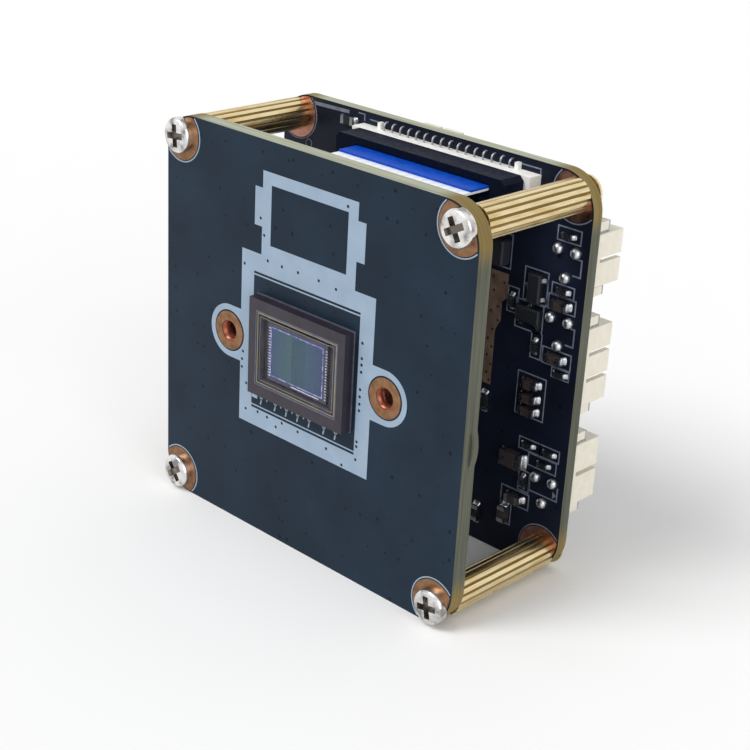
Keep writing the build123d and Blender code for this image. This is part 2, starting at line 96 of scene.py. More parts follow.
def add_node(tree, kind, inputs=None, stops=(), **settings):
    """Adds a node with its settings and links.

    An input is a number, a colour, another node (its first output) or one output of a node.
    Stops are the (place, hex colour) pairs of a colour ramp.
    """
    made = tree.nodes.new(kind)
    for key, value in settings.items():
        setattr(made, key, value)
    for key, value in (inputs or {}).items():
        if isinstance(value, bpy.types.Node):
            value = value.outputs[0]
        if isinstance(value, bpy.types.NodeSocket):
            tree.links.new(value, made.inputs[key])
        else:
            made.inputs[key].default_value = value
    if stops:
        line = made.color_ramp
        while len(line.elements) < len(stops):
            line.elements.new(0.5)
        for element, (place, code) in zip(line.elements, stops):
            element.position = place
            element.color = colour(code)
    return made


def start(name):
    """A material with an empty tree, and the surface position in millimetres."""
    made = bpy.data.materials.new(name)
    made.use_nodes = True
    tree = made.node_tree
    tree.nodes.clear()
    spot = add_node(tree, "ShaderNodeTexCoord")
    mm = add_node(
        tree, "ShaderNodeVectorMath", {0: spot.outputs["Object"], "Scale": 1 / MM}, operation="SCALE"
    )
    return made, tree, mm


def screw_radius(tree, axes):
    """Distance from the nearest screw's axis: the length of (|x| - SCREW_AT, |z| - SCREW_AT)."""
    reach = []
    for axis in ("X", "Z"):
        side = add_node(tree, "ShaderNodeMath", {0: axes.outputs[axis]}, operation="ABSOLUTE")
        reach.append(add_node(tree, "ShaderNodeMath", {0: side, 1: SCREW_AT}, operation="SUBTRACT"))
    around = add_node(tree, "ShaderNodeCombineXYZ", {"X": reach[0], "Y": reach[1], "Z": 0.0})
    return add_node(tree, "ShaderNodeVectorMath", {0: around}, operation="LENGTH").outputs["Value"]


# Materials


def masked_laminate(name, dark, light, gloss):
    """Glass-fibre laminate under solder mask.

    The faces are glossy dark lacquer, a little lighter where copper lies under it, with small
    covered via holes. The sawn edges show pale resin in layers, golden near the corners, with
    painted shade on the edges that face left and right and on the nub.
    """
    copper_marks_per_mm = 0.14
    via_pitch, via_share, via_shade = 2.3, 0.08, 0.75
    painted_side_shade = 0.28
    golden_from, golden_to = 13.5, 16.0

    made, tree, mm = start(name)
    axes = add_node(tree, "ShaderNodeSeparateXYZ", {0: mm})
    spot = add_node(tree, "ShaderNodeTexCoord")
    normal = add_node(tree, "ShaderNodeSeparateXYZ", {0: spot.outputs["Normal"]})
    facing, sideways, side_x, side_z = (
        add_node(tree, "ShaderNodeMath", {0: way}, operation="ABSOLUTE")
        for way in (normal.outputs["Y"], normal.outputs["X"], axes.outputs["X"], axes.outputs["Z"])
    )
    turned_away = add_node(tree, "ShaderNodeMath", {0: facing, 1: 0.5}, operation="LESS_THAN")
    # The break-off nub is bare laminate all over
    on_nub = add_node(
        tree, "ShaderNodeMath", {0: side_x, 1: BOARD_EDGE + 0.01}, operation="GREATER_THAN"
    )
    is_edge = add_node(tree, "ShaderNodeMath", {0: turned_away, 1: on_nub}, operation="MAXIMUM")

    # Copper areas under the lacquer show only as slow changes of shade
    flat = add_node(
        tree, "ShaderNodeCombineXYZ", {"X": axes.outputs["X"], "Y": axes.outputs["Z"], "Z": 0.0}
    )
    blotch = add_node(
        tree, "ShaderNodeTexNoise", {"Vector": flat, "Scale": copper_marks_per_mm, "Detail": 3.0}
    )
    face = add_node(tree, "ShaderNodeValToRGB", {0: blotch}, stops=((0.3, dark), (0.7, light)))

    # Covered via holes: one in each patch, with a radius of up to via_share of the patch
    vias = add_node(
        tree,
        "ShaderNodeTexVoronoi",
        {"Vector": flat, "Scale": 1 / via_pitch, "Randomness": 1.0},
        feature="F1",
        voronoi_dimensions="2D",
    )
    via_size = add_node(tree, "ShaderNodeSeparateColor", {0: vias.outputs["Color"]}).outputs[1]
    via_reach = add_node(tree, "ShaderNodeMath", {0: via_size, 1: via_share}, operation="MULTIPLY")
    is_via = add_node(
        tree, "ShaderNodeMath", {0: vias.outputs["Distance"], 1: via_reach}, operation="LESS_THAN"
    )
    via_mix = add_node(tree, "ShaderNodeMath", {0: is_via, 1: via_shade}, operation="MULTIPLY")
    face_with_vias = add_node(
        tree, "ShaderNodeMix", {"Factor": via_mix, 6: face, 7: colour("#05070a")}, data_type="RGBA"
    )

    # Edge: layers of cloth about 0.25 mm apart, broken by resin
    layers = add_node(tree, "ShaderNodeMapping", {"Vector": mm, "Scale": (0.12, 4.0, 0.12)})
    layer = add_node(tree, "ShaderNodeTexNoise", {"Vector": layers, "Scale": 1.0, "Detail": 3.0})
    straight = add_node(
        tree,
        "ShaderNodeValToRGB",
        {0: layer},
        stops=((0.3, "#8f9280"), (0.5, "#a4a894"), (0.72, "#b8bba7")),
    )
    golden = add_node(
        tree, "ShaderNodeValToRGB", {0: layer}, stops=((0.3, "#77663b"), (0.7, "#8a784e"))
    )
    # Painted shade: the edges that face left or right, and the nub, are darkened
    long_side = add_node(tree, "ShaderNodeMath", {0: sideways, 1: on_nub}, operation="MAXIMUM")
    side_darkening = add_node(
        tree, "ShaderNodeMapRange", {"Value": long_side, "To Min": 1.0, "To Max": painted_side_shade}
    )
    side = add_node(
        tree,
        "ShaderNodeMix",
        {"Factor": 1.0, 6: straight, 7: side_darkening},
        data_type="RGBA",
        blend_type="MULTIPLY",
    )
    nearest = add_node(tree, "ShaderNodeMath", {0: side_x, 1: side_z}, operation="MINIMUM")
    corner = add_node(
        tree,
        "ShaderNodeMapRange",
        {"Value": nearest, "From Min": golden_from, "From Max": golden_to},
        interpolation_type="SMOOTHSTEP",
    )
    edge = add_node(
        tree, "ShaderNodeMix", {"Factor": corner, 6: side.outputs[2], 7: golden}, data_type="RGBA"
    )

    base = add_node(
        tree,
        "ShaderNodeMix",
        {"Factor": is_edge, 6: face_with_vias.outputs[2], 7: edge.outputs[2]},
        data_type="RGBA",
    )
    rough = add_node(tree, "ShaderNodeMapRange", {"Value": is_edge, "To Min": gloss, "To Max": 0.62})
    height = add_node(tree, "ShaderNodeMath", {0: blotch, 1: is_via}, operation="SUBTRACT")
    bump = add_node(
        tree, "ShaderNodeBump", {"Strength": 0.06, "Distance": 0.02 * MM, "Height": height}
    )
    shader = add_node(
        tree,
        "ShaderNodeBsdfPrincipled",
        {
            "Base Color": base.outputs[2],
            "Roughness": rough,
            "Specular IOR Level": 0.1,
            "Normal": bump,
        },
    )
    add_node(tree, "ShaderNodeOutputMaterial", {"Surface": shader})
    return made


def speckled(name, stops, rough, grain, metallic=0.0, bump=0.1, specular=0.5):
    """A solid coloured finish: noise of one grain size shifts the colour, gloss and height.

    grain is the size of the marks in millimetres, and stops are the colours they run through.
    """
    made, tree, mm = start(name)
    marks = add_node(tree, "ShaderNodeTexNoise", {"Vector": mm, "Scale": 1 / grain, "Detail": 5.0})
    base = add_node(tree, "ShaderNodeValToRGB", {0: marks}, stops=stops)
    spread = {"From Min": 0.3, "From Max": 0.7, "To Min": rough * 0.8, "To Max": rough * 1.2}
    gloss = add_node(tree, "ShaderNodeMapRange", {"Value": marks, **spread})
    relief = add_node(
        tree, "ShaderNodeBump", {"Strength": bump, "Distance": grain * 0.1 * MM, "Height": marks}
    )
    shader = add_node(
        tree,
        "ShaderNodeBsdfPrincipled",
        {
            "Base Color": base,
            "Metallic": metallic,
            "Roughness": gloss,
            "Specular IOR Level": specular,
            "Normal": relief,
        },
    )
    add_node(tree, "ShaderNodeOutputMaterial", {"Surface": shader})
    return made


def drawn_brass():
    """Drawn and fluted brass: bright gold ribs, and dark brown painted shade in the flutes."""
    flute_r, rib_r = 1.44, 1.53
    made, tree, mm = start("fluted_brass")
    axes = add_node(tree, "ShaderNodeSeparateXYZ", {0: mm})
    rib = add_node(
        tree,
        "ShaderNodeMapRange",
        {"Value": screw_radius(tree, axes), "From Min": flute_r, "From Max": rib_r},
        interpolation_type="SMOOTHSTEP",
    )
    # The tails riveted over the main board are plain turned brass, without flutes
    tail = add_node(
        tree, "ShaderNodeMath", {0: axes.outputs["Y"], 1: MAIN_FACE}, operation="GREATER_THAN"
    )
    smooth = add_node(tree, "ShaderNodeMath", {0: rib, 1: tail}, operation="MAXIMUM")
    # Streaks along the bar, 3 mm long and a third of a millimetre wide
    drawn = add_node(tree, "ShaderNodeMapping", {"Vector": mm, "Scale": (3.0, 0.35, 3.0)})
    streak = add_node(tree, "ShaderNodeTexNoise", {"Vector": drawn, "Scale": 1.0, "Detail": 4.0})
    bright = add_node(
        tree,
        "ShaderNodeValToRGB",
        {0: streak},
        stops=((0.3, "#cfb47a"), (0.55, "#e6d7ad"), (0.75, "#dac38f")),
    )
    # Painted shade: the flutes get a dark brown, the ribs and plain tails the bright streaked brass
    base = add_node(
        tree, "ShaderNodeMix", {"Factor": smooth, 6: colour("#82673a"), 7: bright}, data_type="RGBA"
    )
    gloss = add_node(tree, "ShaderNodeMapRange", {"Value": streak, "To Min": 0.18, "To Max": 0.42})
    shader = add_node(
        tree,
        "ShaderNodeBsdfPrincipled",
        {"Base Color": base.outputs[2], "Metallic": 1.0, "Roughness": gloss},
    )
    add_node(tree, "ShaderNodeOutputMaterial", {"Surface": shader})
    return made


def nickel_plate():
    """Bright nickel on pressed steel: mirror-like, with painted dark reflections in broad patches and
    painted shade down in the recess.
    """
    recess_from, recess_to, recess_r = 0.12, 0.5, 1.25
    made, tree, mm = start("nickel_plate")
    axes = add_node(tree, "ShaderNodeSeparateXYZ", {0: mm})
    marks = add_node(tree, "ShaderNodeTexNoise", {"Vector": mm, "Scale": 0.9, "Detail": 2.0})
    # Painted reflections: the plate runs from darker to brighter grey in broad patches
    painted_reflection_plate = add_node(
        tree,
        "ShaderNodeValToRGB",
        {0: marks},
        stops=((0.36, "#8f8d8b"), (0.48, "#cdcbc9"), (0.6, "#e8e6e4")),
    )
    # Painted shade down in the recess: the colour turns grey-brown the deeper it goes
    depth = add_node(
        tree,
        "ShaderNodeMapRange",
        {
            "Value": axes.outputs["Y"],
            "From Min": HEAD_TOP + recess_from,
            "From Max": HEAD_TOP + recess_to,
        },
    )
    inside = add_node(
        tree, "ShaderNodeMath", {0: screw_radius(tree, axes), 1: recess_r}, operation="LESS_THAN"
    )
    sunk = add_node(tree, "ShaderNodeMath", {0: depth, 1: inside}, operation="MULTIPLY")
    base = add_node(
        tree, "ShaderNodeMix", {"Factor": sunk, 6: painted_reflection_plate, 7: colour("#6e6861")}, data_type="RGBA"
    )
    gloss = add_node(tree, "ShaderNodeMapRange", {"Value": marks, "To Min": 0.1, "To Max": 0.26})
    shader = add_node(
        tree,
        "ShaderNodeBsdfPrincipled",
        {"Base Color": base.outputs[2], "Metallic": 1.0, "Roughness": gloss},
    )
    add_node(tree, "ShaderNodeOutputMaterial", {"Surface": shader})
    return made


def fired_ceramic():
    """Dark violet-brown fired ceramic: faintly glossy on the rim, matt in the cavity, and painted paler
    there to lift the cavity's shade.
    """
    wall = 0.3
    sunk_from, sunk_to = 0.1, 0.3
    made, tree, mm = start("violet_ceramic")
    axes = add_node(tree, "ShaderNodeSeparateXYZ", {0: mm})
    clouds = add_node(tree, "ShaderNodeTexNoise", {"Vector": mm, "Scale": 0.6, "Detail": 3.0})
    # The cavity's colour is painted light: paler than the rim to lift the shade down there
    rim, inner = (
        add_node(tree, "ShaderNodeValToRGB", {0: clouds}, stops=((0.3, dark), (0.7, light)))
        for dark, light in (("#231f28", "#2e2a35"), ("#48454f", "#5a5960"))
    )
    sunk = add_node(
        tree,
        "ShaderNodeMapRange",
        {
            "Value": axes.outputs["Y"],
            "From Min": PACKAGE_FACE + sunk_from,
            "From Max": PACKAGE_FACE + sunk_to,
        },
    )
    # Inside the outer walls, the distance from the middle is less than half the package's size
    off_z = add_node(tree, "ShaderNodeMath", {0: axes.outputs["Z"], 1: PACKAGE_Z}, operation="SUBTRACT")
    inside = []
    for off, half in (
        (axes.outputs["X"], package_high[0] - wall),
        (off_z, package_high[2] - PACKAGE_Z - wall),
    ):
        away = add_node(tree, "ShaderNodeMath", {0: off}, operation="ABSOLUTE")
        inside.append(add_node(tree, "ShaderNodeMath", {0: away, 1: half}, operation="LESS_THAN"))
    both = add_node(tree, "ShaderNodeMath", {0: inside[0], 1: inside[1]}, operation="MULTIPLY")
    deep = add_node(tree, "ShaderNodeMath", {0: sunk, 1: both}, operation="MULTIPLY")
    base = add_node(tree, "ShaderNodeMix", {"Factor": deep, 6: rim, 7: inner}, data_type="RGBA")
    rough = add_node(tree, "ShaderNodeMapRange", {"Value": deep, "To Min": 0.36, "To Max": 0.7})
    shader = add_node(
        tree,
        "ShaderNodeBsdfPrincipled",
        {"Base Color": base.outputs[2], "Roughness": rough, "Specular IOR Level": 0.4},
    )
    add_node(tree, "ShaderNodeOutputMaterial", {"Surface": shader})
    return made


def image_silicon():
    """Polished silicon under colour filters: blue-grey pixels in three fields, grey border."""
    made, tree, mm = start("filtered_silicon")
    axes = add_node(tree, "ShaderNodeSeparateXYZ", {0: mm})
    left, bottom, right, top = ACTIVE
    places, masks = [], []
    for axis, low, high in (("X", left, right), ("Z", bottom, top)):
        place = add_node(
            tree,
            "ShaderNodeMapRange",
            {"Value": axes.outputs[axis], "From Min": low, "From Max": high},
        )
        off = add_node(tree, "ShaderNodeMath", {0: place, 1: 0.5}, operation="SUBTRACT")
        far = add_node(tree, "ShaderNodeMath", {0: off}, operation="ABSOLUTE")
        masks.append(add_node(tree, "ShaderNodeMath", {0: far, 1: 0.4999}, operation="LESS_THAN"))
        places.append(place)
    pixels = add_node(
        tree,
        "ShaderNodeValToRGB",
        {0: places[0]},
        stops=(
            (0.0, "#3a4a6b"), (0.15, "#3d5566"), (0.4, "#425c62"), (0.41, "#384e5d"),
            (0.67, "#3a5060"), (0.68, "#3f556a"), (1.0, "#3b4a66"),
        ),
    )
    active = add_node(tree, "ShaderNodeMath", {0: masks[0], 1: masks[1]}, operation="MULTIPLY")
    base = add_node(
        tree, "ShaderNodeMix", {"Factor": active, 6: colour("#4a4b58"), 7: pixels}, data_type="RGBA"
    )
    shader = add_node(
        tree,
        "ShaderNodeBsdfPrincipled",
        {"Base Color": base.outputs[2], "Roughness": 0.25, "Specular IOR Level": 0.3},
    )
    add_node(tree, "ShaderNodeOutputMaterial", {"Surface": shader})
    return made


def coated_glass():
    """Thin coated cover glass: clear, with the faintest violet-brown haze."""
    made, tree, mm = start("coated_glass")
    haze = add_node(tree, "ShaderNodeTexNoise", {"Vector": mm, "Scale": 0.25, "Detail": 2.0})
    tint = add_node(
        tree, "ShaderNodeValToRGB", {0: haze}, stops=((0.3, "#3d3f4c"), (0.7, "#494a50"))
    )
    shader = add_node(
        tree,
        "ShaderNodeBsdfPrincipled",
        {"Base Color": tint, "Roughness": 0.1, "Alpha": 0.015, "Specular IOR Level": 0.05},
    )
    add_node(tree, "ShaderNodeOutputMaterial", {"Surface": shader})
    return made


def printed_ribbon():
    """Polyester ribbon: white film, with flat conductors 1 mm apart that show through as grey."""
    made, tree, mm = start("ribbon_film")
    axes = add_node(tree, "ShaderNodeSeparateXYZ", {0: mm})
    wave = add_node(
        tree, "ShaderNodeMath", {0: axes.outputs["X"], 1: 2 * math.pi}, operation="MULTIPLY"
    )
    line = add_node(tree, "ShaderNodeMath", {0: wave}, operation="COSINE")
    base = add_node(
        tree, "ShaderNodeValToRGB", {0: line}, stops=((0.1, "#f3f6f9"), (0.75, "#e6ebf0"))
    )
    relief = add_node(
        tree, "ShaderNodeBump", {"Strength": 0.04, "Distance": 0.03 * MM, "Height": line}
    )
    shader = add_node(
        tree, "ShaderNodeBsdfPrincipled", {"Base Color": base, "Roughness": 0.35, "Normal": relief}
    )
    add_node(tree, "ShaderNodeOutputMaterial", {"Surface": shader})
    return made


# Laminate boards: lacquered over copper, navy in front and nearly black behind
sensor_mask = masked_laminate("navy_solder_mask", "#182431", "#1f2e3d", 0.34)
main_mask = masked_laminate("black_solder_mask", "#131622", "#1c2233", 0.32)

# Etched copper: half bright where bare, pinker and duller on the shaded board, brown where a
# wide strip has tarnished, and a deep red inside the plated holes
bare_copper = speckled(
    "bare_copper", ((0.3, "#724d33"), (0.6, "#946f50")), 0.34, 0.9, metallic=0.85, bump=0.04
)
dull_copper = speckled(
    "dull_copper", ((0.3, "#875a4a"), (0.65, "#b28574")), 0.38, 0.9, metallic=1.0, bump=0.04
)
tarnished_copper = speckled(
    "tarnished_copper", ((0.3, "#685448"), (0.65, "#85705f")), 0.5, 1.2, metallic=0.3, bump=0.04,
    specular=0.3,
)
barrel_copper = speckled(
    "barrel_copper", ((0.3, "#7c3f2c"), (0.65, "#a8614a")), 0.3, 0.6, metallic=0.6
)

brass = drawn_brass()
nickel = nickel_plate()
ceramic = fired_ceramic()
silicon = image_silicon()
glass = coated_glass()
ribbon_film = printed_ribbon()

# Moulded nylon: smooth and satin, white or cream, and black with hardly any shine
white_nylon = speckled("white_nylon", ((0.3, "#efeeea"), (0.7, "#f8f7f4")), 0.5, 0.6, bump=0.04)
cream_nylon = speckled("cream_nylon", ((0.3, "#dbd5c2"), (0.7, "#e4dfd1")), 0.42, 0.8, bump=0.04)
black_nylon = speckled(
    "black_nylon", ((0.3, "#0b1120"), (0.7, "#0f1627")), 0.5, 0.4, bump=0.05, specular=0.06
)

# Dyed polyester film: flat strong blue with a soft gloss
blue_film = speckled(
    "blue_film", ((0.3, "#0a45b0"), (0.7, "#0e50c4")), 0.42, 0.8, bump=0.03, specular=0.12
)

# Tin: bright on leads and pins, greyer on stamped contacts, darkest where fired onto chip ends
tin = speckled(
    "bright_tin", ((0.3, "#a4a5a7"), (0.65, "#cfd0d2")), 0.28, 0.4, metallic=1.0, bump=0.08
)
dull_tin = speckled(
    "dull_tin", ((0.3, "#8b8e93"), (0.65, "#b3b6bb")), 0.38, 0.3, metallic=0.7, bump=0.08
)
fired_tin = speckled(
    "fired_tin", ((0.3, "#7d8086"), (0.65, "#a9acb3")), 0.3, 0.3, metallic=1.0, bump=0.1
)

# Reflowed solder: bright, uneven beads
solder = speckled(
    "solder", ((0.3, "#9a9da2"), (0.65, "#cfd1d6")), 0.36, 0.35, metallic=1.0, bump=0.35
)

# Deep-drawn steel lid: even pale metal
lid_steel = speckled(
    "pressed_lid_steel", ((0.35, "#b9b9b7"), (0.65, "#d6d6d4")), 0.3, 1.6, metallic=1.0, bump=0.02
)

# Transfer-moulded epoxy: near black, with a fine matt grain
epoxy = speckled(
    "moulded_epoxy", ((0.3, "#12151a"), (0.7, "#20242b")), 0.5, 0.12, bump=0.25, specular=0.3
)

# Sintered chips: smooth brown ceramic, and dark grey ferrite with a sandy grain
brown_ceramic = speckled("brown_ceramic", ((0.3, "#2b2425"), (0.7, "#3f3634")), 0.5, 0.3, bump=0.08)
ferrite = speckled(
    "ferrite", ((0.3, "#1c1c25"), (0.7, "#2d2d39")), 0.5, 0.15, bump=0.2, specular=0.3
)

# Screen-printed ink: matt and even, pale blue-white in front, and on the board behind the same white
# ink painted grey as shade
white_ink = speckled(
    "white_ink", ((0.3, "#8c9eb1"), (0.7, "#97a9bb")), 0.6, 2.5, bump=0.04, specular=0.15
)
white_ink_painted_grey = speckled(
    "white_ink_painted_grey", ((0.3, "#646c7b"), (0.7, "#818999")), 0.6, 0.8, bump=0.05, specular=0.12
)

# Edge of the colour filters: a thin violet line that comes and goes
violet_line = speckled(
    "violet_filter_line", ((0.35, "#4a4fa0"), (0.6, "#9aa0da")), 0.25, 0.5, bump=0.0
)

# Aluminium: drawn wire, grey in the cavity, and evaporated pads with painted glints that come one by
# one
wire_bond = speckled(
    "bonding_aluminium", ((0.3, "#47474c"), (0.7, "#66666c")), 0.4, 0.3, metallic=0.6, bump=0.0
)
bond_pad = speckled(
    "bond_pad_aluminium", ((0.3, "#8f95a6"), (0.65, "#e6e9f2")), 0.3, 0.25, metallic=0.3, bump=0.0
)

# Sealing resin: a thin grey bead, also used for a pale line painted in as a highlight at the package's
# foot
pale_seal_and_highlight = speckled("pale_seal_and_highlight", ((0.3, "#4a4955"), (0.7, "#62616e")), 0.35, 0.5, bump=0.05)

# Painted sheen near the edge of the glass: thin lines that run through rainbow colours, standing in for
# its iridescent glints
coating_sheen = speckled(
    "coating_sheen",
    ((0.32, "#5f5d86"), (0.42, "#80706f"), (0.52, "#85805f"), (0.62, "#6b7787"), (0.72, "#7d7082")),
    0.35, 2.0, bump=0.0,
)

finishes = {
    "sensor_board": sensor_mask,
    "sensor_board_pads": bare_copper,
    "sensor_board_capacitors": brown_ceramic,
    "sensor_board_end_caps": fired_tin,
    "sensor_package": ceramic,
    "sensor_die": silicon,
    "sensor_glass": glass,
    "front_screws": nickel,
    "standoffs": brass,
    "ribbon_cable": ribbon_film,
    "ribbon_stiffeners": blue_film,
    "main_board": main_mask,
    "main_board_pads": dull_copper,
    "copper_strip": tarnished_copper,
    "chip_resistors": epoxy,
    "chip_capacitors": brown_ceramic,
    "chip_end_caps": fired_tin,
    "inductor": ferrite,
    "transistors": epoxy,
    "transistor_leads": tin,
    "soldered_posts": solder,
    "processor": epoxy,
    "flash_memory": epoxy,
    "flash_memory_leads": tin,
    "crystal": lid_steel,
    "header_pins": tin,
    "header_tabs": dull_tin,
}
for place in ("front", "rear"):
    finishes[f"{place}_socket_housing"] = white_nylon
    finishes[f"{place}_socket_lugs"] = white_nylon
    finishes[f"{place}_socket_slider"] = black_nylon
    finishes[f"{place}_socket_contacts"] = dull_tin
for place in ("upper", "middle", "lower", "top"):
    finishes[f"{place}_header_housing"] = cream_nylon
for name, obj in nodes.items():
    obj.data.materials.clear()
    obj.data.materials.append(finishes[name])


# Surfaces


def grid_faces(rows, cols, closed_rows, closed_cols):
    """Quads between neighbours of a rows by cols grid, joined round where it is closed."""
    r = np.arange(rows if closed_rows else rows - 1)
    c = np.arange(cols if closed_cols else cols - 1)
    a, b = (g.ravel() for g in np.meshgrid(r, c, indexing="ij"))
    a2, b2 = (a + 1) % rows, (b + 1) % cols
    return np.stack([a * cols + b, a2 * cols + b, a2 * cols + b2, a * cols + b2], -1)


def repeated(points, faces, ends=()):
    """Many copies of one grid as one pair of arrays: points (copies, grid, 3), shared faces."""
    copies, size = points.shape[:2]
    step = (np.arange(copies) * size)[:, None, None]
    quads = (faces[None] + step).reshape(-1, 4).tolist()
    for loop in ends:
        quads += (np.asarray(loop)[None] + step[:, 0]).tolist()
    return points.reshape(-1, 3), quads


def new_piece(name, shapes, finish, smooth=False):
    """One mesh piece from (points in millimetres, faces) shapes: merged, with faces outwards."""
    points, faces, count = [], [], 0
    for shape_points, shape_faces in shapes:
        points.append(shape_points)
        faces += [[i + count for i in face] for face in shape_faces]
        count += len(shape_points)
    mesh = bpy.data.meshes.new(name)
    mesh.from_pydata((np.concatenate(points) * MM).tolist(), [], faces)
    work = bmesh.new()
    work.from_mesh(mesh)
    bmesh.ops.remove_doubles(work, verts=work.verts, dist=0.0005 * MM)
    bmesh.ops.recalc_face_normals(work, faces=work.faces)
    work.to_mesh(mesh)
    work.free()
    mesh.polygons.foreach_set("use_smooth", [smooth] * len(mesh.polygons))
    mesh.materials.append(finish)
    made = bpy.data.objects.new(name, mesh)
    bpy.context.scene.collection.objects.link(made)
    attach(made, "root")


def strokes(paths, width, rise, face_y, toward=FRONT, closed=True):
    """Raised flat lines on a board face.

    Each path is a row of (x, z) points. A side of the line lies half a width away from each
    point along the mitred normal, (n0 + n1) / (1 + n0.n1), and the section is a low rectangle.
    """
    paths = np.asarray(paths, float)
    before, after = np.roll(paths, 1, axis=1), np.roll(paths, -1, axis=1)
    if not closed:
        before[:, 0] = 2 * paths[:, 0] - paths[:, 1]
        after[:, -1] = 2 * paths[:, -1] - paths[:, -2]

    def normal(step):
        step = step / np.linalg.norm(step, axis=-1, keepdims=True)
        return np.stack([-step[..., 1], step[..., 0]], -1)

    def at(side, height):
        level = np.full(side.shape[:-1], face_y + toward * height)
        return np.stack([side[..., 0], level, side[..., 1]], -1)

    n0, n1 = normal(paths - before), normal(after - paths)
    mitre = (n0 + n1) / (1 + (n0 * n1).sum(-1, keepdims=True))
    left, right = paths + mitre * width / 2, paths - mitre * width / 2
    points = np.stack([at(left, 0), at(left, rise), at(right, rise), at(right, 0)], 2)
    copies, stations = points.shape[:2]
    faces = grid_faces(stations, 4, closed, True)
    last = (stations - 1) * 4
    ends = [] if closed else [[0, 1, 2, 3], [last + 3, last + 2, last + 1, last]]
    return repeated(points.reshape(copies, -1, 3), faces, ends)


def circle(x, z, radius, count=48):
    """Points evenly round a circle."""
    turn = np.linspace(0, 2 * math.pi, count, endpoint=False)
    return np.stack([x + radius * np.cos(turn), z + radius * np.sin(turn)], -1)


def arc(x, z, radius, start_degrees, end_degrees, count=24):
    """Points along part of a circle, both ends included."""
    turn = np.radians(np.linspace(start_degrees, end_degrees, count))
    return np.stack([x + radius * np.cos(turn), z + radius * np.sin(turn)], -1).tolist()


def frame_of(x0, z0, x1, z1):
    """The four corners of a rectangle."""
    return [(x0, z0), (x1, z0), (x1, z1), (x0, z1)]


def rim_of(low, high, grow=0.0):
    """Rectangle round a box as it is seen from the front, grown by a margin on every side."""
    return frame_of(low[0] - grow, low[2] - grow, high[0] + grow, high[2] + grow)


def turned(profile, centres, face_y, toward=FRONT, sides=20, hollow=False):
    """Turned forms on a board face: each (radius, rise) point of the profile circles its centre.

    A hollow form's profile runs round a closed wall; any other one is closed by flat ends.
    """
    profile, centres = np.asarray(profile, float), np.asarray(centres, float)
    turn = np.linspace(0, 2 * math.pi, sides, endpoint=False)
    x = centres[:, None, None, 0] + profile[None, :, None, 0] * np.cos(turn)
    z = centres[:, None, None, 1] + profile[None, :, None, 0] * np.sin(turn)
    y = np.broadcast_to(face_y + toward * profile[None, :, None, 1], x.shape)
    points = np.stack([x, y, z], -1).reshape(len(centres), -1, 3)
    rows = len(profile)
    faces = grid_faces(rows, sides, hollow, True)
    ends = [] if hollow else [list(range(sides)), list(range((rows - 1) * sides, rows * sides))]
    return repeated(points, faces, ends)


def dots(centres, radius, rise, face_y, toward=FRONT, sides=12):
    """Low round dots: a disc with a straight rim."""
    return turned([(radius, 0), (radius, rise)], centres, face_y, toward, sides)


def flat_shape(loops, face_y, rise):
    """A plate with holes: loops of (x, z) points, filled where an odd number goes round."""
    curve = bpy.data.curves.new("flat_shape", "CURVE")
    curve.dimensions = "2D"
    curve.fill_mode = "BOTH"
    curve.extrude = rise / 2
    for loop in loops:
        loop = np.asarray(loop, float)
        spline = curve.splines.new("POLY")
        spline.points.add(len(loop) - 1)
        rows = np.concatenate([loop, np.zeros((len(loop), 1)), np.ones((len(loop), 1))], 1)
        spline.points.foreach_set("co", rows.ravel())
        spline.use_cyclic_u = True
    holder = bpy.data.objects.new("flat_shape", curve)
    mesh = bpy.data.meshes.new_from_object(holder)
    points = np.zeros(len(mesh.vertices) * 3)
    mesh.vertices.foreach_get("co", points)
    points = points.reshape(-1, 3)
    faces = [list(p.vertices) for p in mesh.polygons]
    bpy.data.objects.remove(holder)
    bpy.data.curves.remove(curve)
    bpy.data.meshes.remove(mesh)
    level = face_y + FRONT * (points[:, 2] + rise / 2)
    return np.stack([points[:, 0], level, points[:, 1]], -1), faces


def tubes(paths, radius, sides=6):
    """Round wires along rows of 3-D points: each ring lies across its path's own direction."""
    paths = np.asarray(paths, float)
    along = np.gradient(paths, axis=1)
    along /= np.linalg.norm(along, axis=-1, keepdims=True)
    side = np.cross(along, [0.0, 0.0, 1.0])
    side /= np.linalg.norm(side, axis=-1, keepdims=True)
    up = np.cross(side, along)
    turn = np.linspace(0, 2 * math.pi, sides, endpoint=False)[None, None, :, None]
    ring = np.cos(turn) * side[:, :, None] + np.sin(turn) * up[:, :, None]
    copies, stations = paths.shape[:2]
    faces = grid_faces(stations, sides, False, True)
    last = (stations - 1) * sides
    ends = [list(range(sides)), list(range(last, last + sides))]
    return repeated((paths[:, :, None] + radius * ring).reshape(copies, -1, 3), faces, ends)


# Solder at the chips' ends


def solids_of(node):
    """Boxes of a node's separate solids, in millimetres.

    Every point starts with a label of its own and takes the lowest label along its edges until
    no label changes; the points of one solid then share one.
    """
    mesh = nodes[node].data
    spots = np.zeros(len(mesh.vertices) * 3)
    mesh.vertices.foreach_get("co", spots)
    turn = np.array(nodes[node].matrix_world)
    spots = (spots.reshape(-1, 3) @ turn[:3, :3].T + turn[:3, 3]) / MM
    _, place = np.unique(np.round(spots, 4), axis=0, return_inverse=True)
    place = place.ravel()
    edges = np.zeros(len(mesh.edges) * 2, int)
    mesh.edges.foreach_get("vertices", edges)
    one, other = place[edges.reshape(-1, 2)].T
    label = np.arange(place.max() + 1)
    settled = False
    while not settled:
        before = label.copy()
        low = np.minimum(label[one], label[other])
        np.minimum.at(label, one, low)
        np.minimum.at(label, other, low)
        settled = bool((label == before).all())
    groups = label[place]
    return [(spots[groups == g].min(0), spots[groups == g].max(0)) for g in np.unique(groups)]


